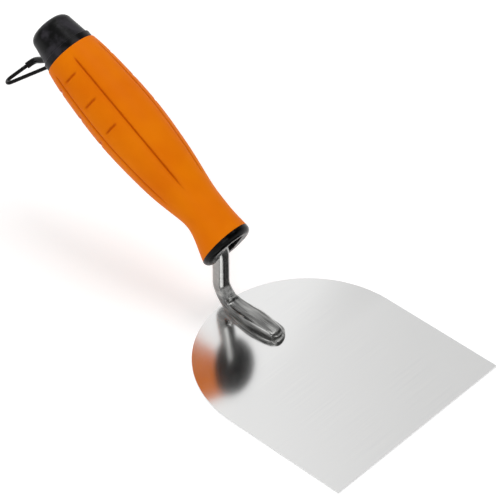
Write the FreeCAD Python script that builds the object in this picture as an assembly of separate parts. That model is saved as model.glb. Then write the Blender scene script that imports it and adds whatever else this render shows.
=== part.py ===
import FreeCAD, Part
import math
import os

from FreeCAD import Placement, Rotation, Vector

# Plasterer's spatula: a thin flat blade with a half-round back, a forged goose-neck shank
# welded on top of it, and a two-component handle with a small carabiner on its end cap.
# Millimetres. The origin lies on the blade's underside, at the centre of its half-round
# back. +X points at the straight working edge, +Z away from the wall.

# Blade
blade_width = 120.0
blade_straight = 72.6            # centre of the round back to the working edge
blade_thickness = 0.8

# Shank: tang, neck and forged foot
rod_diameter = 8.85
neck_setback = 2.2               # the upright neck stands this far behind the blade's back
neck_height = 47.0               # where the neck's line meets the handle's axis
neck_bend = 25.0                 # bend radii on the rod's centre line
foot_bend = 10.0
tang_length = 50.0
foot_reach = 34.3                # end of the foot bend to the foot's tip
foot_flange_width = 14.0
foot_flange_rear_width = 9.2
foot_flange_rear_inset = 4.0     # flange's narrow end, in from the blade's back
foot_flange_straight = 21.0      # the flange keeps its full width over this length
foot_flange_thickness = 1.5
foot_tip_radius = 5.6
foot_edge_round = 0.5
rod_lift = 0.2                   # the lying rod's underside, above the blade
ridge_tip_inset = 1.1            # the ridge stops this short of the flange's tip
ridge_lift = 0.1                 # the ridge's underside, above the blade, inside the flange
ridge_start_step = 0.1           # the ridge starts this far outside the rod, all round
# the ridge's sections: share of the reach, width, height above the blade, radius of the
# crowned top, radius of the edges; the first just covers the rod
ridge_sections = [
    (
        0.0,
        rod_diameter + 2 * ridge_start_step,
        rod_diameter + rod_lift + ridge_start_step,
        4.6,
        4.3,
    ),
    (0.19, 10.8, 5.2, 8.0, 1.6),
    (0.37, 11.8, 5.5, 10.0, 1.0),
    (0.575, 11.2, 5.2, 10.0, 0.9),
    (0.79, 9.6, 4.8, 9.0, 0.8),
    (0.93, 7.6, 4.2, 7.5, 0.8),
    (1.0, 4.6, 3.2, 5.0, 0.7),
]
# the forging die presses the bend's inner side down to a step and a flat behind the ridge
press_flat_start = 2.3           # behind the end of the bend
press_flat_length = 8.5
press_flat_height = 4.6          # above the blade, at the step
press_flat_rise = 0.7            # towards the ridge
press_step_height = 2.6
press_step_lean = 1.7
press_wall_lean = 0.8            # above the step, up to the rod's inner side

# Handle, measured along its own axis from the rear end
handle_tilt = 29.3
handle_length = 149.9
neck_inside = 8.65               # front face to the point where neck and axis meet
cap_length = 16.4
collar_length = 3.9
ferrule_length = 3.8
ferrule_split_tilt = 2.4         # the joint line runs further forward on the underside
ferrule_edge_round = 3.0
grip_thickness = 3.0
# the grip's outline: share of the length from the collar to the front face, half width,
# half height, rise of the centre; the last lies just past the face
grip_sections = [
    (0.0, 14.95, 14.95, 0.0),
    (0.048, 15.95, 15.95, 0.0),
    (0.144, 17.15, 17.15, 0.0),
    (0.29, 18.15, 18.15, 0.0),
    (0.434, 17.95, 17.95, 0.0),
    (0.53, 17.0, 17.0, 0.0),
    (0.627, 15.65, 15.65, 0.0),
    (0.723, 13.6, 13.6, 0.3),
    (0.777, 12.4, 12.4, 0.9),
    (0.831, 11.75, 11.75, 1.4),
    (0.889, 12.2, 12.9, 0.0),
    (0.939, 13.4, 14.6, -1.9),
    (0.978, 14.3, 15.8, -3.1),
    (1.01, 14.6, 16.1, -3.4),
]
groove_angles = [33.0, 90.0, 147.0]   # each cut runs right across, so it makes two grooves
groove_width = 1.1
groove_depth = 0.55
groove_rear_gap = 5.2            # from the collar
groove_front_gap = 34.9          # from the front face
tick_angles = [63.0, 117.0, 243.0, 297.0]
tick_count = 3
tick_rear_gap = 12.5             # from the collar to the first tick
tick_pitch = 16.9
tick_span = 24.0
tick_width = 1.2

# Core under the grip
socket_depth = 60.0              # solid part round the tang, from the ferrule's joint line
core_wall = 3.2                  # round the hollow in the barrel
cap_wall = 2.6
cap_seat_depth = 15.0            # how far the core's spigot reaches into the cap
slot_width = 10.0
slot_top = 7.8                   # above the handle's axis
slot_bottom = 9.5                # below it
slot_depth = 12.0
slot_corner = 3.0
slot_chamfer = 0.5
neck_clearance = 0.35
spigot_length = 3.0
spigot_inset = 5.5

# End cap and its eye
cap_rear_radius = 11.9
cap_joint_radius = 13.65
collar_radius = 14.4
collar_edge_round = 0.5
cap_dome_rise = 0.8
cap_dome_radius = 7.0
cap_edge_round = 4.7
eye_station = 14.8
eye_drop = 17.3                  # below the handle's axis
eye_bore_radius = 3.0
eye_lug_radius = 4.8
eye_lug_thickness = 2.0
eye_edge_round = 0.6
eye_web_bite = 0.5               # how far the lug's web reaches into the cap's wall

# Carabiner, laid out flat: x runs from the eye to the tip, y towards the gate
clip_heading = 216.3             # how it hangs at rest
clip_droop = 31.0
clip_roll = 185.0
clip_side_shift = 1.4            # the wire lies this far off the middle of the eye
wire_diameter = 2.0
eye_turn = (2.9, 0.0, 2.9)       # centre and radius of the wire's turns
tip_turn = (27.6, 0.9, 3.3)
gate_turn = (16.6, 7.2, 4.2)
pivot_inset = 4.5                # pivot's place along the gate side
pivot_disc_radius = 1.5
pin_diameter = 1.1
pin_clearance = 0.05
gate_diameter = 3.5
gate_side_clearance = 0.15
gate_lap = 2.4                   # the gate reaches this far past its bend over the nose
nose_gap = 0.9                   # nose's centre stops this far short of the bend
nose_play = 0.1
fork_end_play = 0.3
leaf_diameter = 0.5
leaf_clearance = 0.02
leaf_seat = 2.4
leaf_offset = 1.25               # its seat in the gate, in from the gate's middle
leaf_reach = 2.2                 # its free end rests on the wire this far behind the pivot
pin_recess = 0.1

rod_radius = rod_diameter / 2
wire_radius = wire_diameter / 2
gate_radius = gate_diameter / 2
blade_radius = blade_width / 2
blade_top = blade_thickness
rod_rest = blade_top + rod_lift + rod_radius
neck_x = -(blade_radius + neck_setback)
bend_end_x = neck_x + foot_bend
collar_end = cap_length + collar_length
split_station = handle_length - ferrule_length
spigot_radius = cap_joint_radius - cap_wall
seat_start = collar_end - cap_seat_depth
neck_bend_reach = neck_bend * math.tan(math.radians(90 - handle_tilt) / 2)
past_all = 2 * handle_length     # boxes that cut everything on one side are this big
past_clip = 2 * gate_diameter    # the same, for the small cuts in the gate

# Handle frame: x forward along the axis from the rear end, z on the top side
handle_turn = Rotation(Vector(0, 1, 0), handle_tilt)
handle_forward = handle_turn.multVec(Vector(1, 0, 0))
neck_corner = Vector(neck_x, 0, neck_height)
neck_station = handle_length - neck_inside
handle_place = Placement(neck_corner - handle_forward * neck_station, handle_turn)

# Carabiner frame: its origin is the middle of the wire, inside the eye
eye_centre = handle_place.multVec(Vector(eye_station, 0, -eye_drop))
clip_turn = Rotation(clip_heading, clip_droop, clip_roll)
clip_shift = clip_turn.multVec(Vector(0, clip_side_shift, 0))
clip_place = Placement(eye_centre + clip_shift, clip_turn)


def placed(shape, place):
    """A copy of the shape, moved from its own frame into the spatula's."""
    moved = shape.copy()
    moved.Placement = place.multiply(moved.Placement)
    return moved


def box(x, y, z):
    """A box from three (low, high) pairs."""
    size = (x[1] - x[0], y[1] - y[0], z[1] - z[0])
    return Part.makeBox(*size, Vector(x[0], y[0], z[0]))


def swept_rod(path, radius):
    """A round bar along a smooth path of lines and arcs."""
    start = path.Edges[0]
    point = start.valueAt(start.FirstParameter)
    along = start.tangentAt(start.FirstParameter)
    ring = Part.Wire(Part.makeCircle(radius, point, along))
    return path.makePipeShell([ring], True, False)


def rounded_path(points, radii):
    """Straight runs through the points, with a tangent arc at each inner point."""
    edges = []
    start = points[0]
    for i, radius in enumerate(radii, 1):
        back = (points[i - 1] - points[i]).normalize()
        ahead = (points[i + 1] - points[i]).normalize()
        half = back.getAngle(ahead) / 2
        reach = radius / math.tan(half)
        entry = points[i] + back * reach
        leave = points[i] + ahead * reach
        inward = (back + ahead).normalize()
        middle = points[i] + inward * (radius / math.sin(half) - radius)
        edges.append(Part.LineSegment(start, entry).toShape())
        edges.append(Part.Arc(entry, middle, leave).toShape())
        start = leave
    if (points[-1] - start).Length > 1e-6:
        edges.append(Part.LineSegment(start, points[-1]).toShape())
    return Part.Wire(edges)


def blade():
    """Flat sheet: straight working edge, parallel sides and a half-round back."""
    front_left = Vector(blade_straight, blade_radius, 0)
    front_right = Vector(blade_straight, -blade_radius, 0)
    back_left = Vector(0, blade_radius, 0)
    back_right = Vector(0, -blade_radius, 0)
    outline = Part.Wire([
        Part.LineSegment(back_right, front_right).toShape(),
        Part.LineSegment(front_right, front_left).toShape(),
        Part.LineSegment(front_left, back_left).toShape(),
        Part.Arc(back_left, Vector(-blade_radius, 0, 0), back_right).toShape(),
    ])
    return Part.Face(outline).extrude(Vector(0, 0, blade_thickness))


def shank_path():
    """Centre line of the rod: tang on the handle's axis, upright neck, foot bend."""
    return rounded_path(
        [
            neck_corner - handle_forward * tang_length,
            neck_corner,
            Vector(neck_x, 0, rod_rest),
            Vector(bend_end_x, 0, rod_rest),
        ],
        [neck_bend, foot_bend],
    )


def ridge_section(x, width, height, crown, corner):
    """The ridge's outline at x: flat underneath, upright sides, a crowned top, round edges."""
    half = width / 2
    low = blade_top + ridge_lift
    top = blade_top + height
    crown_centre = top - crown
    side_top = crown_centre + math.sqrt((crown - corner) ** 2 - (half - corner) ** 2)
    # unit vector from the crown's centre through the upper corner's centre
    out = (half - corner) / (crown - corner)
    up = (side_top - crown_centre) / (crown - corner)
    # halfway round the upper corner, between that direction and level
    middle = math.atan2(up, out) / 2
    cut = corner * (1 - math.sqrt(0.5))

    def at(y, z):
        return Vector(x, y, z)

    def upper(side):
        """Points where the right (1) or left (-1) upper corner starts, turns and ends."""
        return (
            at(side * half, side_top),
            at(
                side * (half - corner + corner * math.cos(middle)),
                side_top + corner * math.sin(middle),
            ),
            at(side * crown * out, crown_centre + crown * up),
        )

    right, right_middle, right_crown = upper(1)
    left, left_middle, left_crown = upper(-1)
    return Part.Wire([
        Part.LineSegment(at(corner - half, low), at(half - corner, low)).toShape(),
        Part.Arc(
            at(half - corner, low), at(half - cut, low + cut), at(half, low + corner)
        ).toShape(),
        Part.LineSegment(at(half, low + corner), right).toShape(),
        Part.Arc(right, right_middle, right_crown).toShape(),
        Part.Arc(right_crown, at(0, top), left_crown).toShape(),
        Part.Arc(left_crown, left_middle, left).toShape(),
        Part.LineSegment(left, at(-half, low + corner)).toShape(),
        Part.Arc(
            at(-half, low + corner), at(cut - half, low + cut), at(corner - half, low)
        ).toShape(),
    ])


def foot_flange():
    """Lower tier of the foot: a thin tongue that widens from the neck to a round tip."""
    rear = -blade_radius + foot_flange_rear_inset
    tip = bend_end_x + foot_reach
    shoulder = tip - foot_flange_straight
    wide = foot_flange_width / 2
    narrow = foot_flange_rear_width / 2
    corners = [
        Vector(rear, narrow, blade_top),
        Vector(shoulder, wide, blade_top),
        Vector(tip, wide, blade_top),
        Vector(tip, -wide, blade_top),
        Vector(shoulder, -wide, blade_top),
        Vector(rear, -narrow, blade_top),
    ]
    plate = Part.Face(Part.makePolygon(corners + corners[:1]))
    plate = plate.extrude(Vector(0, 0, foot_flange_thickness))
    upright = [edge for edge in plate.Edges if abs(edge.tangentAt(0).z) > 0.9]
    tips = [edge for edge in upright if edge.CenterOfMass.x > tip - 1e-3]
    plate = plate.makeFillet(foot_tip_radius, tips)
    top = [
        edge for edge in plate.Edges
        if abs(edge.BoundBox.ZMin - (blade_top + foot_flange_thickness)) < 1e-6
        and edge.CenterOfMass.x > rear + 1e-3
    ]
    return plate.makeFillet(foot_edge_round, top)


def foot_ridge():
    """Upper tier: the round rod flattening into a low crowned ridge along the foot."""
    reach = foot_reach - ridge_tip_inset
    wires = [ridge_section(bend_end_x + share * reach, *sizes) for share, *sizes in ridge_sections]
    return Part.makeLoft(wires, True, False)


def press_die():
    """The die's nose, drawn from the side: flat underneath, with a leaning step behind."""
    start = bend_end_x - press_flat_start
    flat = blade_top + press_flat_height
    step_x = start - press_step_lean
    step_z = flat + press_step_height
    high = step_z + rod_diameter
    front = start + press_flat_length
    corners = [
        Vector(front, -rod_diameter, flat + press_flat_rise),
        Vector(start, -rod_diameter, flat),
        Vector(step_x, -rod_diameter, step_z),
        Vector(step_x - press_wall_lean, -rod_diameter, high),
        Vector(front, -rod_diameter, high),
    ]
    side = Part.Face(Part.makePolygon(corners + corners[:1]))
    return side.extrude(Vector(0, 2 * rod_diameter, 0))


def shank():
    """One forging: tang, goose neck and two-tier foot, with the die's flat on its back."""
    body = swept_rod(shank_path(), rod_radius)
    body = body.fuse([foot_ridge(), foot_flange()])
    return body.cut(press_die()).removeSplitter()


def oval(station, half_width, half_height, rise):
    """An ellipse across the handle. Every one starts at its side, so lofts don't twist."""
    ring = Part.makeCircle(1.0, Vector(0, 0, 0), Vector(1, 0, 0))
    stretch = FreeCAD.Matrix()
    stretch.A22 = half_width
    stretch.A33 = half_height
    stretch.A14 = station
    stretch.A34 = rise
    return Part.Wire(ring.transformGeometry(stretch).Edges)


def grip_form(inset):
    """The whole grip outline as a solid, taken in by the inset all round."""
    length = handle_length - collar_end
    wires = [
        oval(collar_end + share * length, half_width - inset, half_height - inset, rise)
        for share, half_width, half_height, rise in grip_sections
    ]
    return Part.makeLoft(wires, True, False)


def behind_split():
    """All the space behind the slanted joint line between grip and ferrule."""
    block = box((-past_all, 0), (-past_all, past_all), (-past_all, past_all))
    block.Placement = Placement(
        Vector(split_station, 0, 0), Rotation(Vector(0, 1, 0), -ferrule_split_tilt)
    )
    return block


def grip_cutters():
    """Six lengthwise grooves and the short cross ticks on the four side panels."""
    reach = 2 * collar_radius
    half = groove_width / 2
    groove_run = (collar_end + groove_rear_gap, handle_length - groove_front_gap)
    cutters = []
    for angle in groove_angles:
        plate = box(groove_run, (-half, half), (-reach, reach))
        plate.rotate(Vector(0, 0, 0), Vector(1, 0, 0), angle)
        cutters.append(plate)
    for number in range(tick_count):
        station = collar_end + tick_rear_gap + number * tick_pitch
        start = Vector(station - tick_width / 2, 0, 0)
        for angle in tick_angles:
            wedge = Part.makeCylinder(reach, tick_width, start, Vector(1, 0, 0), tick_span)
            # a wedge starts at the frame's own side, so its middle is turned to the angle
            at_rest = wedge.CenterOfMass
            now = math.degrees(math.atan2(-at_rest.y, at_rest.z))
            wedge.rotate(Vector(0, 0, 0), Vector(1, 0, 0), angle - now)
            cutters.append(wedge)
    return cutters


def neck_space():
    """Room for the bent neck, in the handle's frame."""
    room = swept_rod(shank_path(), rod_radius + neck_clearance)
    return placed(room, handle_place.inverse())


def slot_ring(station, spread):
    """The slot's outline at a station, larger all round by the spread."""
    half = slot_width / 2 + spread
    low = -slot_bottom - spread
    high = slot_top + spread
    corner = slot_corner + spread
    block = box((station - 1, station), (-half, half), (low, high))
    along = [edge for edge in block.Edges if abs(edge.tangentAt(0).x) > 0.9]
    block = block.makeFillet(corner, along)
    face = max(block.Faces, key=lambda side: side.CenterOfMass.x)
    return face.OuterWire


def face_slot():
    """The upright slot that the neck comes out of, with a chamfered mouth."""
    rings = [
        slot_ring(handle_length - slot_depth, 0.0),
        slot_ring(handle_length - slot_chamfer, 0.0),
        slot_ring(handle_length, slot_chamfer),
        slot_ring(handle_length + slot_chamfer, slot_chamfer),
    ]
    return Part.makeLoft(rings, True, True)


def bent_neck_space():
    """The part of the neck's room in front of the straight tang."""
    bend_start = neck_station - neck_bend_reach
    front = box((bend_start, past_all), (-past_all, past_all), (-past_all, past_all))
    return neck_space().common(front)


def grip_sleeve():
    """The soft overmould: panelled barrel, waist and flared finger guard."""
    outer = grip_form(0.0)
    cuts = [cutter.cut(grip_form(groove_depth)) for cutter in grip_cutters()]
    sleeve = outer.cut(cuts)
    sleeve = sleeve.cut(grip_form(grip_thickness))
    return sleeve.common(behind_split()).cut(bent_neck_space())


def core_socket(long):
    """The straight bore that the tang is pressed into."""
    return Part.makeCylinder(rod_radius, long, Vector(neck_station, 0, 0), Vector(-1, 0, 0))


def handle_core():
    """Hard core: hollow at the rear, solid round the tang, a spigot for the end cap."""
    core = grip_form(grip_thickness).common(behind_split())
    rear = Vector(seat_start, 0, 0)
    spigot = Part.makeCylinder(spigot_radius, cap_seat_depth, rear, Vector(1, 0, 0))
    bore_length = split_station - socket_depth - seat_start
    bore = Part.makeCylinder(spigot_radius - core_wall, bore_length, rear, Vector(1, 0, 0))
    hollow = grip_form(grip_thickness + core_wall).common(
        box(
            (collar_end + core_wall, seat_start + bore_length),
            (-past_all, past_all),
            (-past_all, past_all),
        )
    )
    seat = ferrule_spigot()
    core = core.fuse(spigot)
    core = core.cut([bore, hollow, core_socket(tang_length), bent_neck_space()])
    return core.cut([face_slot(), seat])


def ferrule_spigot():
    """Short oval plug on the ferrule's back, let into the core's front."""
    plug = grip_form(spigot_inset)
    block = behind_split()
    ahead = block.copy()
    ahead.translate(Vector(-spigot_length, 0, 0))
    return plug.common(block).cut(ahead)


def front_ferrule():
    """Hard front plate that closes the grip, rounded at its front edge, with the slot."""
    plate = grip_form(0.0).cut(behind_split())
    plate = plate.common(
        box((0, handle_length), (-past_all, past_all), (-past_all, past_all))
    )
    rim = [
        edge for edge in plate.Edges
        if edge.BoundBox.XMin > handle_length - 1e-3
    ]
    plate = plate.makeFillet(ferrule_edge_round, rim)
    plate = plate.fuse(ferrule_spigot())
    return plate.cut([face_slot(), bent_neck_space()])


def end_cap():
    """Domed cap with the collar behind the grip, and a moulded eye on its underside."""
    dome_end = Vector(cap_dome_rise, 0, cap_dome_radius)
    edge_end = Vector(cap_dome_rise + cap_edge_round, 0, cap_rear_radius)
    # halfway out a shallow dome has risen by a quarter
    dome_middle = Vector(cap_dome_rise / 4, 0, cap_dome_radius / 2)
    diagonal = math.sqrt(0.5)
    edge_middle = Vector(
        cap_dome_rise + cap_edge_round * (1 - diagonal),
        0,
        cap_dome_radius + (cap_rear_radius - cap_dome_radius) * diagonal,
    )
    outline = [
        Part.Arc(Vector(0, 0, 0), dome_middle, dome_end).toShape(),
        Part.Arc(dome_end, edge_middle, edge_end).toShape(),
    ]
    corners = [
        edge_end,
        Vector(cap_length, 0, cap_joint_radius),
        Vector(cap_length, 0, collar_radius),
        Vector(collar_end, 0, collar_radius),
        Vector(collar_end, 0, spigot_radius),
        Vector(seat_start, 0, spigot_radius),
        Vector(seat_start, 0, 0),
        Vector(0, 0, 0),
    ]
    for start, end in zip(corners, corners[1:]):
        outline.append(Part.LineSegment(start, end).toShape())
    shell = Part.Face(Part.Wire(outline)).revolve(Vector(0, 0, 0), Vector(1, 0, 0), 360)
    step = [
        edge for edge in shell.Edges
        if abs(edge.BoundBox.XMax - cap_length) < 1e-6
        and abs(edge.BoundBox.ZMax - collar_radius) < 1e-3
        and edge.BoundBox.XLength < 1e-3
    ]
    shell = shell.makeFillet(collar_edge_round, step)
    half = eye_lug_thickness / 2
    centre = Vector(eye_station, -half, -eye_drop)
    lug = Part.makeCylinder(eye_lug_radius, eye_lug_thickness, centre, Vector(0, 1, 0))
    web = box(
        (eye_station - eye_lug_radius, eye_station + eye_lug_radius),
        (-half, half),
        (-eye_drop, eye_web_bite - cap_joint_radius),
    )
    lug = lug.fuse(web).removeSplitter()
    lug = lug.cut(
        Part.makeCylinder(eye_bore_radius, eye_lug_thickness, centre, Vector(0, 1, 0))
    )
    rims = [
        edge for edge in lug.Edges
        if edge.Curve.TypeId == "Part::GeomCircle"
        and abs(edge.Curve.Radius - eye_bore_radius) < 1e-6
    ]
    lug = lug.makeFillet(eye_edge_round, rims)
    return shell.fuse(lug)


def outer_tangent(first, second):
    """Where the line that touches both turns on the outside meets each of them."""
    dx = second[0] - first[0]
    dy = second[1] - first[1]
    angle = math.atan2(dy, dx) - math.acos((first[2] - second[2]) / math.hypot(dx, dy))
    side = Vector(math.cos(angle), math.sin(angle), 0)
    return (
        Vector(first[0], first[1], 0) + side * first[2],
        Vector(second[0], second[1], 0) + side * second[2],
    )


def turn_arc(turn, start, end):
    """The outer arc of a turn, anticlockwise from start to end."""
    centre = Vector(turn[0], turn[1], 0)
    first = math.atan2(start.y - centre.y, start.x - centre.x)
    last = math.atan2(end.y - centre.y, end.x - centre.x)
    while last < first:
        last += 2 * math.pi
    half = (first + last) / 2
    middle = centre + Vector(math.cos(half), math.sin(half), 0) * turn[2]
    return Part.Arc(start, middle, end).toShape()


spine_start, spine_end = outer_tangent(eye_turn, tip_turn)
bar_start, bar_end = outer_tangent(tip_turn, gate_turn)
gate_start, gate_finish = outer_tangent(gate_turn, eye_turn)
gate_line = (gate_start - gate_finish).normalize()
bar_line = (bar_start - bar_end).normalize()
pivot = gate_finish + gate_line * pivot_inset
nose = bar_end + bar_line * nose_gap
gate_tip = bar_end + bar_line * gate_lap
fork_half = wire_radius + gate_side_clearance


def beside(line, origin, along, across, deep):
    """A box whose first side runs along a line of the flat carabiner, from an origin."""
    block = box(along, across, deep)
    angle = math.degrees(math.atan2(line.y, line.x))
    block.Placement = Placement(origin, Rotation(Vector(0, 0, 1), angle))
    return block


def pin_bar(radius, half):
    """A round bar on the gate's pivot axis, as long as twice the half."""
    return Part.makeCylinder(radius, 2 * half, pivot - Vector(0, 0, half), Vector(0, 0, 1))


def carabiner_body():
    """Bent wire: pivot disc, turn through the eye, spine, tip and nose."""
    path = Part.Wire([
        Part.LineSegment(pivot, gate_finish).toShape(),
        turn_arc(eye_turn, gate_finish, spine_start),
        Part.LineSegment(spine_start, spine_end).toShape(),
        turn_arc(tip_turn, spine_end, bar_start),
        Part.LineSegment(bar_start, nose).toShape(),
    ])
    wire = swept_rod(path, wire_radius)
    disc = pin_bar(pivot_disc_radius, wire_radius)
    wire = wire.fuse([disc, Part.makeSphere(wire_radius, nose)])
    return placed(wire.cut(pin_bar(pin_diameter / 2, wire_radius)), clip_place)


def carabiner_gate():
    """Bent gate: a fork round the wire's disc at one end, a trough for the nose at the other."""
    path = Part.Wire([
        Part.LineSegment(pivot, gate_start).toShape().reversed(),
        turn_arc(gate_turn, bar_end, gate_start).reversed(),
        Part.LineSegment(bar_end, gate_tip).toShape(),
    ])
    gate = swept_rod(path, gate_radius).fuse(Part.makeSphere(gate_radius, pivot))
    deep = (-fork_half, fork_half)
    fork_end = pivot_disc_radius + fork_end_play
    fork = beside(gate_line, pivot, (-past_clip, fork_end), (-past_clip, past_clip), deep)
    # the gate opens inwards, so the nose leaves it outwards, on an arc about the pivot
    trough_inner = -wire_radius - nose_play
    trough = beside(bar_line, nose, (-past_clip, past_clip), (trough_inner, past_clip), deep)
    kept = nose.distanceToPoint(pivot) - wire_radius - fork_end_play
    trough = trough.cut(pin_bar(kept, past_clip))
    leaf_hole = Part.makeCylinder(
        leaf_diameter / 2 + leaf_clearance,
        leaf_seat + fork_end_play,
        leaf_point(fork_end - fork_end_play, leaf_offset),
        gate_line,
    )
    bore = pin_bar(pin_diameter / 2 + pin_clearance, gate_radius)
    return placed(gate.cut([fork, trough, leaf_hole, bore]), clip_place)


def leaf_point(along, inward):
    """A point near the pivot: along the gate's line and in from it."""
    side = Vector(gate_line.y, -gate_line.x, 0)
    return pivot + gate_line * along + side * inward


def gate_spring():
    """Leaf wire: seated in the gate, round the disc's inner side, pressing on the wire."""
    fork_end = pivot_disc_radius + fork_end_play
    clear = leaf_diameter / 2 + leaf_clearance
    seat = leaf_point(fork_end + leaf_seat, leaf_offset)
    mouth = leaf_point(fork_end, leaf_offset)
    under = leaf_point(0, pivot_disc_radius + 2 * clear)
    rest = leaf_point(-leaf_reach, wire_radius + 2 * clear)
    curve = Part.BSplineCurve()
    curve.interpolate([mouth, under, rest], InitialTangent=-gate_line, FinalTangent=-gate_line)
    path = Part.Wire([Part.LineSegment(seat, mouth).toShape(), curve.toShape()])
    return placed(swept_rod(path, leaf_diameter / 2), clip_place)


def gate_pin():
    """Rivet through the gate's fork and the wire's disc."""
    return placed(pin_bar(pin_diameter / 2, gate_radius - pin_recess), clip_place)


def in_handle(make):
    """Build a handle piece and put it on the tilted handle axis."""
    return placed(make(), handle_place)


parts = {
    "blade": blade(),
    "shank": shank(),
    "handle_core": in_handle(handle_core),
    "grip_sleeve": in_handle(grip_sleeve),
    "front_ferrule": in_handle(front_ferrule),
    "end_cap": in_handle(end_cap),
    "carabiner_body": carabiner_body(),
    "carabiner_gate": carabiner_gate(),
    "gate_pin": gate_pin(),
    "gate_spring": gate_spring(),
}

os.makedirs("parts", exist_ok=True)
for name, shape in parts.items():
    shape.exportStep(f"parts/{name}.step")
    print(name, len(shape.Solids), "solid,", round(shape.Volume), "mm3, valid", shape.isValid())
print("eye centre", eye_centre)
print("gate pivot", clip_place.multVec(pivot), "axis", clip_place.Rotation.multVec(Vector(0, 0, 1)))
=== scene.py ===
import bpy
import numpy as np
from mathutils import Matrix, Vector


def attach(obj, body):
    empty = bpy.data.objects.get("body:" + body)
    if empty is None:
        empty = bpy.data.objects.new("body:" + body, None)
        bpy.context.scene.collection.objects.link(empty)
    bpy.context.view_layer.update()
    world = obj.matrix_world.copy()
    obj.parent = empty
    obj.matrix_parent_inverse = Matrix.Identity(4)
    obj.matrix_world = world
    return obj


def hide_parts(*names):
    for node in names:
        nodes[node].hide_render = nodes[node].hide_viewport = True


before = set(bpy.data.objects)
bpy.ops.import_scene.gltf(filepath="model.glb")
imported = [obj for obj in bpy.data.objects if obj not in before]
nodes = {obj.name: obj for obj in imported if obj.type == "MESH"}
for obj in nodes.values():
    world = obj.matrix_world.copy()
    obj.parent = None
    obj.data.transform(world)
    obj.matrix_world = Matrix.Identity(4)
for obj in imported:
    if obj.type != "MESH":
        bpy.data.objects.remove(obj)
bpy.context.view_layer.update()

MM = 0.001


# ---------------------------------------------------------------- colours and node helper

def linear(hex_colour):
    """An sRGB hex value as linear RGBA."""
    parts = np.array([int(hex_colour[i:i + 2], 16) for i in (1, 3, 5)]) / 255
    low = parts / 12.92
    high = ((parts + 0.055) / 1.055) ** 2.4
    return (*np.where(parts <= 0.04045, low, high), 1.0)


def add(tree, kind, settings=None, **links):
    """Add one node. Settings are attributes; links set sockets from values or other sockets.

    A socket is keyed by its name, with _ for a space, or by its number, such as _0.
    """
    node = tree.nodes.new(kind)
    for name, value in (settings or {}).items():
        setattr(node, name, value)
    for name, value in links.items():
        key = int(name[1:]) if name[0] == "_" and name[1:].isdigit() else name.replace("_", " ")
        socket = node.inputs[key]
        if isinstance(value, bpy.types.NodeSocket):
            tree.links.new(value, socket)
        else:
            socket.default_value = value
    return node


def new_material(name):
    """An empty node material and its tree."""
    material = bpy.data.materials.new(name)
    material.use_nodes = True
    material.node_tree.nodes.clear()
    return material, material.node_tree


def finish_material(tree, shader):
    """Connect the shader to the material's output."""
    add(tree, "ShaderNodeOutputMaterial", Surface=shader.outputs[0])


def ramp(tree, factor, stops):
    """A colour ramp with (position, hex colour) stops."""
    node = add(tree, "ShaderNodeValToRGB", Fac=factor)
    elements = node.color_ramp.elements
    while len(elements) < len(stops):
        elements.new(0.5)
    for element, (position, colour) in zip(elements, stops):
        element.position = position
        element.color = linear(colour)
    return node.outputs["Color"]


# ---------------------------------------------------------------- shapes

def natural_spline(knots, values, at):
    """Smooth curve through the knots: cubics with one slope and curvature where they meet."""
    gaps = np.diff(knots)
    slopes = np.diff(values, axis=0) / gaps[:, None]
    system = np.eye(len(knots))
    inner = np.arange(1, len(knots) - 1)
    system[inner, inner - 1] = gaps[:-1]
    system[inner, inner] = 2 * (gaps[:-1] + gaps[1:])
    system[inner, inner + 1] = gaps[1:]
    bends = np.zeros_like(values)
    bends[1:-1] = 6 * np.diff(slopes, axis=0)
    bends = np.linalg.solve(system, bends)
    span = np.clip(np.searchsorted(knots, at) - 1, 0, len(gaps) - 1)
    width = gaps[span][..., None]
    left = (at - knots[span])[..., None]
    right = width - left
    cubic = (bends[span] * right ** 3 + bends[span + 1] * left ** 3) / (6 * width)
    line_left = (values[span] / width - bends[span] * width / 6) * right
    line_right = (values[span + 1] / width - bends[span + 1] * width / 6) * left
    return cubic + line_left + line_right


def ease(value, low, high):
    """0 below low, 1 above high, and a smooth step between."""
    share = np.clip((value - low) / (high - low), 0, 1)
    return share * share * (3 - 2 * share)


def bell(distance, half_width):
    """1 in the middle, falling as e to the minus of (distance over half width) squared."""
    return np.exp(-(distance / half_width) ** 2)


def superellipse(angle, power):
    """Across and rise, at each angle, of |across| ** power + |rise| ** power = 1."""
    across = np.sign(np.cos(angle)) * np.abs(np.cos(angle)) ** (2 / power)
    rise = np.sign(np.sin(angle)) * np.abs(np.sin(angle)) ** (2 / power)
    return across, rise


def make_piece(mesh, material, shares):
    """Link a smooth object of the mesh. Each named share is a value per point, kept on the
    mesh for the material to read."""
    mesh.polygons.foreach_set("use_smooth", np.ones(len(mesh.polygons), dtype=bool))
    mesh.update(calc_edges=True)
    for share, values in shares.items():
        layer = mesh.attributes.new(share, "FLOAT", "POINT")
        layer.data.foreach_set("value", values.reshape(-1).astype(np.float32))
    mesh.materials.append(material)
    piece = bpy.data.objects.new(mesh.name, mesh)
    bpy.context.scene.collection.objects.link(piece)
    return piece


def ring_mesh(name, points, material, **shares):
    """A closed skin from a grid of points whose rows and columns both wrap round."""
    rows, columns = points.shape[:2]
    number = np.arange(rows * columns).reshape(rows, columns)
    below = np.roll(number, -1, axis=0)
    faces = np.stack([
        number, np.roll(number, -1, axis=1), np.roll(below, -1, axis=1), below,
    ], axis=-1).reshape(-1, 4)
    mesh = bpy.data.meshes.new(name)
    mesh.vertices.add(rows * columns)
    mesh.vertices.foreach_set("co", points.reshape(-1).astype(np.float32))
    mesh.loops.add(faces.size)
    mesh.loops.foreach_set("vertex_index", faces.reshape(-1).astype(np.int32))
    mesh.polygons.add(len(faces))
    mesh.polygons.foreach_set("loop_start", np.arange(0, faces.size, 4, dtype=np.int32))
    return make_piece(mesh, material, shares)


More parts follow.
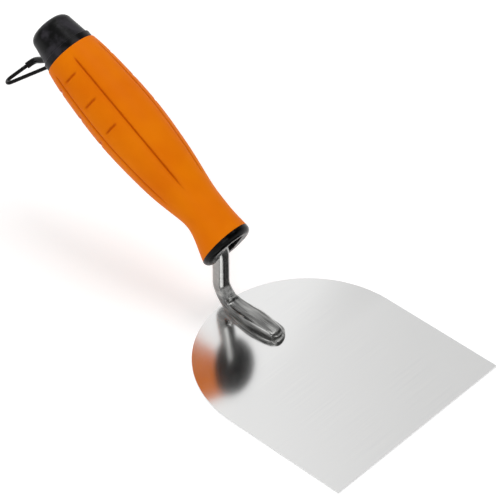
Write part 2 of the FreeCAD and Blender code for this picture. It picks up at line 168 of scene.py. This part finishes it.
# All of these are millimetres and degrees. A station is a length along the handle's axis,
# from its rear end.
HANDLE_TILT = 29.3
NECK_CORNER = (-62.2, 0.0, 47.0)     # where the neck's upright line meets the axis
NECK_STATION = 141.25                # the same point, as a station
GRIP_START = 20.3
GRIP_END = 146.1
GRIP_FACE = 149.9                    # the front plate's face
JOINT_TILT = 2.4                     # the joint with the front plate leans by this
JOINT_RUN = 12.0                     # and the grip follows it over this length
# the grip's outline: share of the length to the face, half width, half height, rise of the
# centre
GRIP_OUTLINE = np.array([
    (0.0, 14.95, 14.95, 0.0), (0.048, 15.95, 15.95, 0.0), (0.144, 17.15, 17.15, 0.0),
    (0.29, 18.15, 18.15, 0.0), (0.434, 17.95, 17.95, 0.0), (0.53, 17.0, 17.0, 0.0),
    (0.627, 15.65, 15.65, 0.0), (0.723, 13.6, 13.6, 0.3), (0.777, 12.4, 12.4, 0.9),
    (0.831, 11.75, 11.75, 1.4), (0.889, 12.2, 12.9, 0.0), (0.939, 13.4, 14.6, -1.9),
    (0.978, 14.3, 15.8, -3.1), (1.01, 14.6, 16.1, -3.4),
])
GROOVES = np.array([33, 90, 147, 213, 270, 327])
TICKS = np.array([63, 117, 243, 297])
TICK_STATIONS = np.array([32.8, 49.7, 66.6])
GROOVE_STARTS = (25.0, 29.0)         # a groove fades in between these stations
GROOVE_ENDS = (104.0, 117.0)         # and out between these
GROOVE_DEPTH, GROOVE_HALF = 0.75, 0.45
FLANK_DEPTH, FLANK_HALF = 0.15, 1.5  # the soft hollow on both sides of the groove
TICK_DEPTH = 0.8
TICK_HALVES = (0.55, 0.75)           # half width behind and ahead of the tick's middle
TICK_FADE = (3.0, 4.9)               # a tick fades out between these, to either side
REAR_RIM = 0.45                      # radius of the rounded rear rim
FRONT_EDGE, FRONT_BREAK = 0.3, 0.12  # length and depth of the broken front edge
WALL, WALL_LOSS = 3.0, 2.8           # the skin's thickness, and how much of it goes
WALL_THINS = 130.0                   # from this station to the front


def on_handle(station, side, up):
    """Points of the handle's own frame: along its axis, to the side, and above it."""
    tilt = np.radians(HANDLE_TILT)
    along = station - NECK_STATION
    return MM * np.stack([
        NECK_CORNER[0] + along * np.cos(tilt) + up * np.sin(tilt),
        NECK_CORNER[1] + side,
        NECK_CORNER[2] - along * np.sin(tilt) + up * np.cos(tilt),
    ], axis=-1)


def grip_outline(station):
    """Half width, half height and rise of the grip at each station."""
    knots = GRIP_START + GRIP_OUTLINE[:, 0] * (GRIP_FACE - GRIP_START)
    return np.moveaxis(natural_spline(knots, GRIP_OUTLINE[:, 1:], station), -1, 0)


def around(angle, middle):
    """Signed turn from the middle to the angle, in degrees, the short way round."""
    return (angle - middle + 180) % 360 - 180


def grip_skin(material):
    """Soft grip: ellipses along the handle, less the depth of grooves and ticks.

    The depth across a groove is e to the minus of (distance over half width) squared, once
    for the narrow groove and once for its wide flanks, and it fades out at both ends. A tick
    is the same bell along the handle, with one steep and one gentle side, and it fades out
    sideways. The skin runs forward outside and back inside, and its wall thins towards the
    front to leave room for the bent neck. Rows and columns are closer at ticks and grooves.
    """
    turns = [np.arange(0, 360, 3.0)]
    turns += [groove + np.linspace(-5, 5, 21) for groove in GROOVES]
    turns = np.unique(np.round(np.concatenate(turns) % 360, 3))
    stations = [GRIP_START + REAR_RIM * (1 - np.cos(np.linspace(0, np.pi / 2, 7)))]
    stations += [np.arange(GRIP_START + 1.2, GRIP_END - 1.2, 1.4)]
    stations += [tick + np.linspace(-2.4, 2.4, 25) for tick in TICK_STATIONS]
    stations += [GRIP_END - FRONT_EDGE * np.linspace(1, 0, 5) ** 2]
    stations = np.unique(np.round(np.concatenate(stations), 3))
    station, turn = np.meshgrid(stations, turns, indexing="ij")
    side_share = -np.sin(np.radians(turn))
    up_share = np.cos(np.radians(turn))

    def at(station, inset):
        """Points at these stations, this far inside the outline."""
        half_width, half_height, rise = grip_outline(station)
        up = (half_height - inset) * up_share[:len(station)] + rise
        # the joint with the front plate leans: further forward on the underside
        lean = -up * np.tan(np.radians(JOINT_TILT))
        lean = lean * ease(station, GRIP_END - JOINT_RUN, GRIP_END)
        return on_handle(station + lean, (half_width - inset) * side_share[:len(station)], up)

    radius = grip_outline(station)[0]
    run = ease(station, *GROOVE_STARTS) * (1 - ease(station, *GROOVE_ENDS))
    depth = 0.0
    for groove in GROOVES:
        off = np.radians(around(turn, groove)) * radius
        groove_depth = GROOVE_DEPTH * bell(off, GROOVE_HALF) + FLANK_DEPTH * bell(off, FLANK_HALF)
        depth = depth + run * groove_depth
    for tick in TICKS:
        off = np.abs(np.radians(around(turn, tick)) * radius)
        across = 1 - ease(off, *TICK_FADE)
        for middle in TICK_STATIONS:
            along = station - middle
            half_width = np.where(along < 0, *TICK_HALVES)
            depth = depth + TICK_DEPTH * across * bell(along, half_width)
    # round the rear rim and break the front edge
    rear = np.clip(1 - (station - GRIP_START) / REAR_RIM, 0, 1)
    front = np.clip(1 - (GRIP_END - station) / FRONT_EDGE, 0, 1)
    depth = depth + REAR_RIM * (1 - np.sqrt(1 - rear ** 2)) + FRONT_BREAK * front ** 2
    outer = at(station, depth)
    # share of the groove and tick depth, which paints shade into the grooves and ticks
    sunk = np.clip(depth / TICK_DEPTH, 0, 1) * (1 - rear) * (1 - front)
    back = np.linspace(GRIP_END, GRIP_START, 40)
    inner_station = np.repeat(back[:, None], len(turns), axis=1)
    wall = WALL - WALL_LOSS * ease(inner_station, WALL_THINS, GRIP_END)
    inner = at(inner_station, wall)
    sunk = np.concatenate([sunk, np.zeros_like(inner_station)])
    return ring_mesh("grip_skin", np.concatenate([outer, inner]), material, sunk=sunk)


def tube_mesh(name, tubes, material, **shares):
    """Closed skins, each from rings of points, with a fan of triangles on both end rings.

    Each named share is a list with one array of values for each tube; the middles of the
    fans get 0.
    """
    points, faces, start = [], [], 0
    for rings in tubes:
        rows, columns = rings.shape[:2]
        number = start + np.arange(rows * columns).reshape(rows, columns)
        side = np.roll(number, -1, axis=1)
        walls = np.stack([number[:-1], side[:-1], side[1:], number[1:]], axis=-1)
        first, last = start + rows * columns + np.arange(2)
        caps = [
            np.stack([side[0], number[0], np.full(columns, first)], axis=-1),
            np.stack([number[-1], side[-1], np.full(columns, last)], axis=-1),
        ]
        faces += walls.reshape(-1, 4).tolist() + np.concatenate(caps).tolist()
        ends = np.stack([rings[0].mean(axis=0), rings[-1].mean(axis=0)])
        points += [rings.reshape(-1, 3), ends]
        start += rows * columns + 2
    mesh = bpy.data.meshes.new(name)
    mesh.from_pydata(np.concatenate(points).tolist(), [], faces)
    shares = {
        share: np.concatenate([np.append(values.reshape(-1), (0, 0)) for values in by_tube])
        for share, by_tube in shares.items()
    }
    return make_piece(mesh, material, shares)


# The forged shank: rod, bends and foot. The foot lies on the blade, and its ridge carries
# on from the rod.
ROD_RADIUS = 4.425
TANG_START = 100.0                   # a station, inside the handle
NECK_BEND = 25.0
FOOT_BEND = 10.0
FOOT_REACH = 31.8                    # from the end of the foot's bend to the ridge's tip
BLADE_TOP = 0.8
ROD_LIFT = 0.2                       # of the lying rod's underside above the blade
FLANGE_THICKNESS = 1.5
# the ridge: way past the end of the foot's bend, half width, height above the rod's middle,
# squareness (the section's power)
RIDGE = np.array([
    (-13.0, 4.42, 4.42, 2.0), (-9.0, 4.45, 4.1, 2.1), (-5.0, 4.7, 2.8, 2.4),
    (-1.5, 5.0, 1.5, 3.0), (2.0, 5.3, 0.75, 3.6), (7.0, 5.5, 0.65, 4.0),
    (13.0, 5.9, 0.85, 4.6), (20.0, 5.6, 0.6, 4.6), (26.0, 4.9, 0.25, 4.2),
    (29.5, 4.3, -0.3, 3.6), (31.8, 3.6, -0.9, 3.0),
])
# the flange: distance from the neck's middle, half width
FLANGE = np.array([
    (4.0, 2.6), (8.0, 4.7), (14.0, 6.0), (20.0, 7.0), (26.0, 7.35), (34.0, 7.35), (35.0, 7.3),
])
FLANGE_ROUND = 8.9                   # length of its round tip
FLANGE_SQUARENESS = 10.0
FOOT_SKEW = 0.018                    # the foot points this share of its length to the right
TIP_LEAN = 0.3                       # and its tip is rounder on the left by this share
RIDGE_CLOSING = 2.5                  # length over which the ridge rounds off to its tip
RIDGE_BLUNT, FLANGE_BLUNT = 0.02, 0.005  # share of the section that is left at either tip
BITE, BITE_RUN = 0.1, (-8, 0)        # the ridge's underside sinks by this, over this way
DIE_DIP = (-4.0, 0.8, 0.45)          # the die's step: place, half width and depth of a dip
DIE_LIP = (-1.8, 0.7, 0.35)          # and place, half width and height of the lip after it
EDGE_HIGHLIGHT_HALF = 0.22                   # half width of the painted edge highlight, as a share of the section
EDGE_HIGHLIGHT_RUN = (-3, 1)                 # the ridge's edges get the painted highlight from this way on
EDGE_HIGHLIGHT_FLANGE = 0.7                  # and the flange's get less of it


def blunt_tip(share, blunt):
    """A quarter round from 1 to the blunt share, as the share of the tip's length grows."""
    return np.sqrt(1 - share ** 2) * (1 - blunt) + blunt


def shank_skin(material):
    """Forged shank: rounded squares swept along tang, neck and foot, and the flange's plate.

    A section is the superellipse |side / half width| ** n + |up / height| ** n = 1, where n
    grows from 2 on the rod to about 4 on the ridge, and the height is another above than
    below. The way goes along the handle's axis, round the neck's arc, straight down, round
    the foot's arc and along the blade; a dip and a lip, both bells, are the die's step behind
    the ridge, and the tip closes as a quarter round. The flange's plate is the same figure
    with n = 10, swept along the blade alone, and its half width closes in a round tip. The
    foot is skewed to the right by a share of its length, and the plate's tip leans. The
    painted-highlight share is a bell round the two upper corners of the section.
    """
    tilt = np.radians(HANDLE_TILT)
    turn = np.pi / 2 - tilt
    tangent = NECK_BEND * np.tan(turn / 2)
    tang = NECK_STATION - tangent - TANG_START
    rod_height = BLADE_TOP + ROD_LIFT + ROD_RADIUS
    neck = NECK_CORNER[2] - tangent - rod_height - FOOT_BEND
    lengths = np.cumsum([0, tang, NECK_BEND * turn, neck, FOOT_BEND * np.pi / 2, FOOT_REACH])
    way = np.concatenate([
        np.linspace(0, lengths[3], 60, endpoint=False),
        np.linspace(lengths[3], lengths[5] - RIDGE_CLOSING, 150, endpoint=False),
        lengths[5] - RIDGE_CLOSING * (1 - np.sin(np.linspace(0, np.pi / 2, 14))),
    ])
    # follow the way in short steps, then shift it so that it ends at the ridge's tip
    pitch = np.interp(way, lengths, [tilt, tilt, np.pi / 2, np.pi / 2, 0, 0])
    step = np.diff(way, prepend=0)
    middle_pitch = pitch - np.diff(pitch, prepend=pitch[0]) / 2
    x = np.cumsum(step * np.cos(middle_pitch))
    z = -np.cumsum(step * np.sin(middle_pitch))
    x += NECK_CORNER[0] + FOOT_BEND + FOOT_REACH - x[-1]
    z += rod_height - z[-1]

    along = way - lengths[4]
    on_ridge = np.clip(along, RIDGE[0, 0], RIDGE[-1, 0])
    half_width, top, power = natural_spline(RIDGE[:, 0], RIDGE[:, 1:], on_ridge).T
    for (place, half, height), sign in ((DIE_DIP, -1), (DIE_LIP, 1)):
        top = top + sign * (height * bell(along - place, half))
    closing = np.clip((way - lengths[5] + RIDGE_CLOSING) / RIDGE_CLOSING, 0, 1)
    shrink = blunt_tip(closing, RIDGE_BLUNT)
    bottom = ROD_RADIUS + BITE * ease(along, *BITE_RUN)
    centre = (top - bottom) / 2
    tall = (top + bottom) / 2
    angle = np.linspace(0, 2 * np.pi, 96, endpoint=False)
    across, rise = superellipse(angle, power[:, None])
    side = (half_width * shrink)[:, None] * across
    side = side - FOOT_SKEW * np.maximum(along + FOOT_BEND, 0)[:, None]
    up = centre[:, None] + (tall * shrink)[:, None] * rise
    rod = MM * np.stack([
        x[:, None] + np.sin(pitch)[:, None] * up,
        side,
        z[:, None] + np.cos(pitch)[:, None] * up,
    ], axis=-1)

    reach = np.concatenate([
        np.linspace(FLANGE[0, 0], FLANGE[-1, 0], 50, endpoint=False),
        FLANGE[-1, 0] + FLANGE_ROUND * np.sin(np.linspace(0, np.pi / 2, 24)),
    ])
    wide = natural_spline(FLANGE[:, 0], FLANGE[:, 1:], np.minimum(reach, FLANGE[-1, 0]))[:, 0]
    round_tip = np.clip((reach - FLANGE[-1, 0]) / FLANGE_ROUND, 0, 1)
    wide = wide * blunt_tip(round_tip, FLANGE_BLUNT)
    middle = -FOOT_SKEW * reach - TIP_LEAN * round_tip ** 2 * (FLANGE[-1, 1] - wide)
    across, rise = superellipse(angle, FLANGE_SQUARENESS)
    flange = MM * np.stack(np.broadcast_arrays(
        (NECK_CORNER[0] + reach)[:, None],
        wide[:, None] * across + middle[:, None],
        BLADE_TOP + FLANGE_THICKNESS / 2 * (1 + rise),
    ), axis=-1)
    # painted highlight: the forging's upper edges are painted bright
    corner = bell(np.abs(np.cos(angle)) - np.sin(angle), EDGE_HIGHLIGHT_HALF)
    rubbed = corner * ease(along, *EDGE_HIGHLIGHT_RUN)[:, None]
    return tube_mesh(
        "shank_skin", [rod, flange], material,
        rubbed=[rubbed, np.broadcast_to(EDGE_HIGHLIGHT_FLANGE * corner, flange.shape[:2])],
    )


# ---------------------------------------------------------------- materials

def rolled_stainless():
    """Cold rolled stainless sheet: a pale satin mirror, whose reflections blur with distance,
    over a fine rolling grain that keeps it from looking like glass."""
    material, tree = new_material("rolled_stainless")
    place = add(tree, "ShaderNodeTexCoord").outputs["Object"]
    # rolling lines, 0.35 mm apart and tens of millimetres long, run across the blade
    grain_place = add(
        tree, "ShaderNodeMapping", Vector=place, Scale=(1 / (0.35 * MM), 1 / (45 * MM), 1.0)
    ).outputs[0]
    grain = add(tree, "ShaderNodeTexNoise", Vector=grain_place, Scale=1.0, Detail=3.0)
    smudge = add(tree, "ShaderNodeTexNoise", Vector=place, Scale=1 / (28 * MM), Detail=2.0)
    tone = ramp(tree, grain.outputs["Fac"], [(0.3, "#DCDCDC"), (0.7, "#E0E0DF")])
    fine = add(
        tree, "ShaderNodeMapRange", Value=grain.outputs["Fac"], To_Min=0.12, To_Max=0.15
    ).outputs[0]
    rough = add(
        tree, "ShaderNodeMath", {"operation": "MULTIPLY_ADD"},
        _0=smudge.outputs["Fac"], _1=0.04, _2=fine,
    )
    # towards the rear the reflections bend as on a slightly bowed sheet; only the shading
    # bows, and the sheet itself is flat
    slope = add(
        tree, "ShaderNodeVectorMath", {"operation": "DOT_PRODUCT"}, _0=place, _1=(0.66, 0.75, 0),
    ).outputs["Value"]
    reach = add(tree, "ShaderNodeSeparateXYZ", Vector=place).outputs["X"]
    pull = add(
        tree, "ShaderNodeMapRange", {"interpolation_type": "SMOOTHSTEP"}, Value=reach,
        From_Min=0.0, From_Max=-60 * MM, To_Max=0.052,
    ).outputs[0]
    lift = add(tree, "ShaderNodeMath", {"operation": "MULTIPLY"}, _0=slope, _1=pull).outputs[0]
    bow = add(tree, "ShaderNodeBump", Height=lift, Strength=1.0, Distance=1.0).outputs[0]
    bump = add(
        tree, "ShaderNodeBump", Height=grain.outputs["Fac"], Strength=0.02, Distance=0.02 * MM,
        Normal=bow,
    )
    shader = add(
        tree, "ShaderNodeBsdfPrincipled",
        Base_Color=tone, Metallic=1.0, Roughness=rough.outputs[0], Normal=bump.outputs[0],
    )
    finish_material(tree, shader)
    return material


def forged_shank():
    """Drop-forged steel: the neck is polished and picks up sharp light and dark bands; the
    foot is left dark and mottled, with drawn-out die marks and painted edge highlights."""
    material, tree = new_material("forged_shank")
    place = add(tree, "ShaderNodeTexCoord").outputs["Object"]
    height = add(tree, "ShaderNodeSeparateXYZ", Vector=place).outputs["Z"]
    # 0 on the polished neck, 1 on the dark foot
    foot = add(
        tree, "ShaderNodeMapRange", {"interpolation_type": "SMOOTHSTEP"},
        Value=height, From_Min=17 * MM, From_Max=7 * MM,
    ).outputs[0]
    drawn_place = add(
        tree, "ShaderNodeMapping", Vector=place,
        Scale=(1 / (12 * MM), 1 / (1.6 * MM), 1 / (2.2 * MM)),
    ).outputs[0]
    drawn = add(tree, "ShaderNodeTexNoise", Vector=drawn_place, Scale=1.0, Detail=4.0)
    dents = add(tree, "ShaderNodeTexNoise", Vector=place, Scale=1 / (2.6 * MM), Detail=3.0)
    pits = add(tree, "ShaderNodeTexNoise", Vector=place, Scale=1 / (0.45 * MM), Detail=4.0)
    bright = ramp(tree, dents.outputs["Fac"], [(0.3, "#969695"), (0.7, "#AAAAA8")])
    dark = ramp(
        tree, drawn.outputs["Fac"], [(0.3, "#5E5E5D"), (0.5, "#848483"), (0.7, "#AAAAA8")]
    )
    colour = add(
        tree, "ShaderNodeMix", {"data_type": "RGBA"}, Factor=foot, _6=bright, _7=dark
    ).outputs[2]
    # painted highlight: the upper edges are painted near white, in breaks
    rubbed = add(tree, "ShaderNodeAttribute", {"attribute_name": "rubbed"}).outputs["Fac"]
    breaks = add(
        tree, "ShaderNodeMapRange", Value=drawn.outputs["Fac"], From_Min=0.35, From_Max=0.6
    ).outputs[0]
    painted_edge = add(
        tree, "ShaderNodeMath", {"operation": "MULTIPLY"}, _0=rubbed, _1=breaks
    ).outputs[0]
    colour = add(
        tree, "ShaderNodeMix", {"data_type": "RGBA"},
        Factor=painted_edge, _6=colour, _7=linear("#F0F0EE"),
    ).outputs[2]
    smooth = add(
        tree, "ShaderNodeMapRange", Value=dents.outputs["Fac"], To_Min=0.12, To_Max=0.24
    ).outputs[0]
    coarse = add(
        tree, "ShaderNodeMapRange", Value=drawn.outputs["Fac"], To_Min=0.20, To_Max=0.36
    ).outputs[0]
    rough = add(
        tree, "ShaderNodeMix", {"data_type": "FLOAT"}, Factor=foot, _2=smooth, _3=coarse
    ).outputs[0]
    relief = add(
        tree, "ShaderNodeMath", {"operation": "MULTIPLY"}, _0=drawn.outputs["Fac"], _1=foot
    ).outputs[0]
    marks = add(
        tree, "ShaderNodeBump", Height=relief, Strength=0.25, Distance=0.18 * MM
    ).outputs[0]
    bump = add(
        tree, "ShaderNodeBump", Height=pits.outputs["Fac"], Strength=0.12, Distance=0.05 * MM,
        Normal=marks,
    )
    shader = add(
        tree, "ShaderNodeBsdfPrincipled",
        Base_Color=colour, Metallic=1.0, Roughness=rough, Normal=bump.outputs[0],
    )
    finish_material(tree, shader)
    return material


def spring_steel():
    """Drawn steel of the gate's pin and leaf spring: a dull grey glint in the black clip."""
    material, tree = new_material("spring_steel")
    place = add(tree, "ShaderNodeTexCoord").outputs["Object"]
    drawn = add(tree, "ShaderNodeTexNoise", Vector=place, Scale=1 / (0.3 * MM), Detail=3.0)
    colour = ramp(tree, drawn.outputs["Fac"], [(0.3, "#8C8C8B"), (0.7, "#A6A6A5")])
    rough = add(
        tree, "ShaderNodeMapRange", Value=drawn.outputs["Fac"], To_Min=0.25, To_Max=0.4
    )
    shader = add(
        tree, "ShaderNodeBsdfPrincipled",
        Base_Color=colour, Metallic=1.0, Roughness=rough.outputs[0],
    )
    finish_material(tree, shader)
    return material


def moulded_rubber():
    """Orange thermoplastic rubber: an even, strong orange with hardly any shine, softened by
    a very fine moulded grain."""
    material, tree = new_material("moulded_rubber")
    place = add(tree, "ShaderNodeTexCoord").outputs["Object"]
    tone = add(tree, "ShaderNodeTexNoise", Vector=place, Scale=1 / (24 * MM), Detail=2.0)
    plain = ramp(tree, tone.outputs["Fac"], [(0.35, "#EC7500"), (0.65, "#F27F00")])
    # painted shade: the grooves and ticks are painted redder and darker with their depth, as
    # light that bounces about in narrow grooves comes out redder and darker
    sunk = add(tree, "ShaderNodeAttribute", {"attribute_name": "sunk"}).outputs["Fac"]
    colour = add(
        tree, "ShaderNodeMix", {"data_type": "RGBA"},
        Factor=sunk, _6=plain, _7=linear("#CC5C00"),
    ).outputs[2]
    cloud = add(tree, "ShaderNodeTexNoise", Vector=place, Scale=1 / (6 * MM), Detail=3.0)
    rough = add(
        tree, "ShaderNodeMapRange", Value=cloud.outputs["Fac"], To_Min=0.44, To_Max=0.54
    )
    # spark-eroded mould grain of about 0.3 mm
    grain = add(tree, "ShaderNodeTexNoise", Vector=place, Scale=1 / (0.3 * MM), Detail=2.0)
    bump = add(
        tree, "ShaderNodeBump", Height=grain.outputs["Fac"], Strength=0.15, Distance=0.03 * MM
    )
    shader = add(
        tree, "ShaderNodeBsdfPrincipled",
        Base_Color=colour, Roughness=rough.outputs[0], IOR=1.5, Specular_IOR_Level=0.05,
        Normal=bump.outputs[0],
    )
    finish_material(tree, shader)
    return material


def moulded_black(name, colour_low, colour_high, roughness, grain_mm, cloud_mm):
    """Black moulded plastic or coating: near black, with a cloudy gloss that shows its shape,
    over a fine mould grain."""
    material, tree = new_material(name)
    place = add(tree, "ShaderNodeTexCoord").outputs["Object"]
    cloud = add(tree, "ShaderNodeTexNoise", Vector=place, Scale=1 / (cloud_mm * MM), Detail=4.0)
    # the colour cloud's lighter patches are painted sheen in part, standing in for a cloudy
    # highlight, and scuffed tone in part
    colour = ramp(tree, cloud.outputs["Fac"], [(0.42, colour_low), (0.62, colour_high)])
    grain = add(tree, "ShaderNodeTexNoise", Vector=place, Scale=1 / (grain_mm * MM), Detail=4.0)
    rough = add(
        tree, "ShaderNodeMapRange", Value=cloud.outputs["Fac"],
        From_Min=0.3, From_Max=0.7, To_Min=roughness - 0.12, To_Max=roughness + 0.12,
    )
    bump = add(
        tree, "ShaderNodeBump", Height=grain.outputs["Fac"], Strength=0.35, Distance=0.06 * MM
    )
    shader = add(
        tree, "ShaderNodeBsdfPrincipled",
        Base_Color=colour, Roughness=rough.outputs[0], IOR=1.5, Specular_IOR_Level=0.13,
        Normal=bump.outputs[0],
    )
    finish_material(tree, shader)
    return material


wire = spring_steel()
finishes = {
    "blade": rolled_stainless(),
    "shank": forged_shank(),
    "handle_core": moulded_black("core_plastic", "#060607", "#0A0A0C", 0.34, 0.6, 5.0),
    "grip_sleeve": moulded_rubber(),
    "front_ferrule": moulded_black("half_gloss_plastic", "#020202", "#050506", 0.26, 0.8, 5.0),
    # the end cap's colour cloud reaches a dark grey: painted sheen in part, standing in for its
    # cloudy highlight
    "end_cap": moulded_black("grained_plastic", "#040405", "#302E33", 0.42, 0.35, 7.0),
    "carabiner_body": moulded_black("black_wire_coating", "#040404", "#080809", 0.32, 0.5, 3.0),
    "carabiner_gate": moulded_black("black_cast_coating", "#060607", "#0E0E0F", 0.34, 0.5, 3.0),
    "gate_pin": wire,
    "gate_spring": wire,
}
for name, material in finishes.items():
    node = nodes[name]
    node.data.materials.clear()
    node.data.materials.append(material)

grip = grip_skin(finishes["grip_sleeve"])
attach(grip, "tool")
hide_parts("grip_sleeve")
shank = shank_skin(finishes["shank"])
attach(shank, "tool")
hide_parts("shank")


# ---------------------------------------------------------------- stage, light and camera

FLOOR_HALF = 3.0                     # metres
FLOOR_DROP = 0.02 * MM
FLOOR_LIFT_FROM, FLOOR_LIFT_TO = 0.3, 0.8  # metres from the middle of the floor
FLOOR_LIFT_NEAR, FLOOR_LIFT_FAR = 0.31, 0.75
ROOM_LEVEL = 0.98
UNLIT_LEVEL = 0.10
UNLIT_CORNER = (0.74, 0.27, 0.62)    # towards the room's unlit corner
ROOM_RIGHT = (0.707, 0.707, 0)       # towards the room's right end


def stage_plane():
    """A white floor under the blade that keeps the tool's shadow.

    It glows a little, only for the camera and in reflections, so that it joins the room.
    """
    corners = FLOOR_HALF * np.array([(-1, -1), (1, -1), (1, 1), (-1, 1)])
    mesh = bpy.data.meshes.new("floor")
    mesh.from_pydata([(x, y, -FLOOR_DROP) for x, y in corners], [], [(0, 1, 2, 3)])
    floor = bpy.data.objects.new("floor", mesh)
    bpy.context.scene.collection.objects.link(floor)
    material, tree = new_material("white_floor")
    path = add(tree, "ShaderNodeLightPath")
    seen = add(
        tree, "ShaderNodeMath", {"operation": "MAXIMUM"},
        _0=path.outputs["Is Camera Ray"], _1=path.outputs["Is Glossy Ray"],
    ).outputs[0]
    paint = add(tree, "ShaderNodeBsdfDiffuse", Color=linear("#F2F2F2"))
    # the lamps light the floor's middle only, so its far part is lifted more
    place = add(tree, "ShaderNodeTexCoord").outputs["Object"]
    distance = add(
        tree, "ShaderNodeVectorMath", {"operation": "LENGTH"}, _0=place
    ).outputs["Value"]
    more = add(
        tree, "ShaderNodeMapRange", Value=distance,
        From_Min=FLOOR_LIFT_FROM, From_Max=FLOOR_LIFT_TO,
        To_Min=FLOOR_LIFT_NEAR, To_Max=FLOOR_LIFT_FAR,
    ).outputs[0]
    lift = add(tree, "ShaderNodeMath", {"operation": "MULTIPLY"}, _0=seen, _1=more).outputs[0]
    glow = add(tree, "ShaderNodeEmission", Strength=lift)
    both = add(tree, "ShaderNodeAddShader", _0=paint.outputs[0], _1=glow.outputs[0])
    finish_material(tree, both)
    mesh.materials.append(material)


def studio_world():
    """White studio with one unlit corner, plain white where the camera sees it."""
    world = bpy.data.worlds.new("studio")
    world.use_nodes = True
    tree = world.node_tree
    tree.nodes.clear()
    toward = add(tree, "ShaderNodeTexCoord").outputs["Generated"]
    # the room's unlit corner: above eye level, to the right of the camera
    facing = add(
        tree, "ShaderNodeVectorMath", {"operation": "DOT_PRODUCT"},
        _0=toward, _1=UNLIT_CORNER,
    ).outputs["Value"]
    unlit = add(
        tree, "ShaderNodeMapRange", {"interpolation_type": "SMOOTHSTEP"}, Value=facing,
        From_Min=0.35, From_Max=0.80,
    ).outputs[0]
    rise = add(tree, "ShaderNodeSeparateXYZ", Vector=toward).outputs["Z"]
    high = add(
        tree, "ShaderNodeMapRange", {"interpolation_type": "SMOOTHSTEP"}, Value=rise,
        From_Min=0.25, From_Max=0.45,
    ).outputs[0]
    share = add(tree, "ShaderNodeMath", {"operation": "MULTIPLY"}, _0=unlit, _1=high).outputs[0]
    level = add(
        tree, "ShaderNodeMapRange", Value=share, To_Min=ROOM_LEVEL, To_Max=UNLIT_LEVEL
    ).outputs[0]
    # the far wall falls off towards the room's right end
    across = add(
        tree, "ShaderNodeVectorMath", {"operation": "DOT_PRODUCT"},
        _0=toward, _1=ROOM_RIGHT,
    ).outputs["Value"]
    fall = add(
        tree, "ShaderNodeMapRange", {"interpolation_type": "SMOOTHSTEP"}, Value=across,
        From_Min=-0.01, From_Max=0.11, To_Min=1.14, To_Max=0.86,
    ).outputs[0]
    level = add(tree, "ShaderNodeMath", {"operation": "MULTIPLY"}, _0=level, _1=fall).outputs[0]
    # and the wall on the left side of the bench is greyer
    depth = add(tree, "ShaderNodeSeparateXYZ", Vector=toward).outputs["Y"]
    grey = add(
        tree, "ShaderNodeMapRange", {"interpolation_type": "SMOOTHSTEP"}, Value=depth,
        From_Min=0.30, From_Max=-0.60, To_Min=1.0, To_Max=0.60,
    ).outputs[0]
    level = add(tree, "ShaderNodeMath", {"operation": "MULTIPLY"}, _0=level, _1=grey).outputs[0]
    path = add(tree, "ShaderNodeLightPath")
    white = add(tree, "ShaderNodeBackground", Color=linear("#FFFFFF"), Strength=1.0)
    room = add(tree, "ShaderNodeBackground", Color=linear("#FFFFFF"), Strength=level)
    mix = add(
        tree, "ShaderNodeMixShader",
        Fac=path.outputs["Is Camera Ray"], _1=room.outputs[0], _2=white.outputs[0],
    )
    add(tree, "ShaderNodeOutputWorld", Surface=mix.outputs[0])
    bpy.context.scene.world = world


def soft_box(name, place, aim, width, height, power):
    """A rectangular studio light at a place, facing an aim point."""
    light = bpy.data.lights.new(name, "AREA")
    light.shape = "RECTANGLE"
    light.size = width
    light.size_y = height
    light.energy = power
    lamp = bpy.data.objects.new(name, light)
    bpy.context.scene.collection.objects.link(lamp)
    lamp.location = place
    lamp.rotation_euler = (Vector(aim) - Vector(place)).to_track_quat("-Z", "Y").to_euler()


def camera(place, target, lens):
    """A long-lens camera on a 36 mm wide sensor."""
    data = bpy.data.cameras.new("camera")
    data.lens = lens
    data.sensor_width = 36.0
    eye = bpy.data.objects.new("camera", data)
    bpy.context.scene.collection.objects.link(eye)
    eye.location = place
    eye.rotation_euler = (Vector(target) - Vector(place)).to_track_quat("-Z", "Y").to_euler()
    bpy.context.scene.camera = eye


stage_plane()
studio_world()
tool_middle = (-60 * MM, 0, 40 * MM)
soft_box("front_box", (0.61, -0.73, 0.84), tool_middle, width=0.7, height=0.5, power=3.0)
soft_box("top_box", (0.0, 0.30, 1.25), tool_middle, width=0.5, height=0.5, power=4.4)
camera(
    place=(606.60 * MM, -690.77 * MM, 881.43 * MM),
    target=(-78.54 * MM, 39.21 * MM, 0.8 * MM),
    lens=180.6,
)
bpy.context.scene.view_settings.view_transform = "Standard"
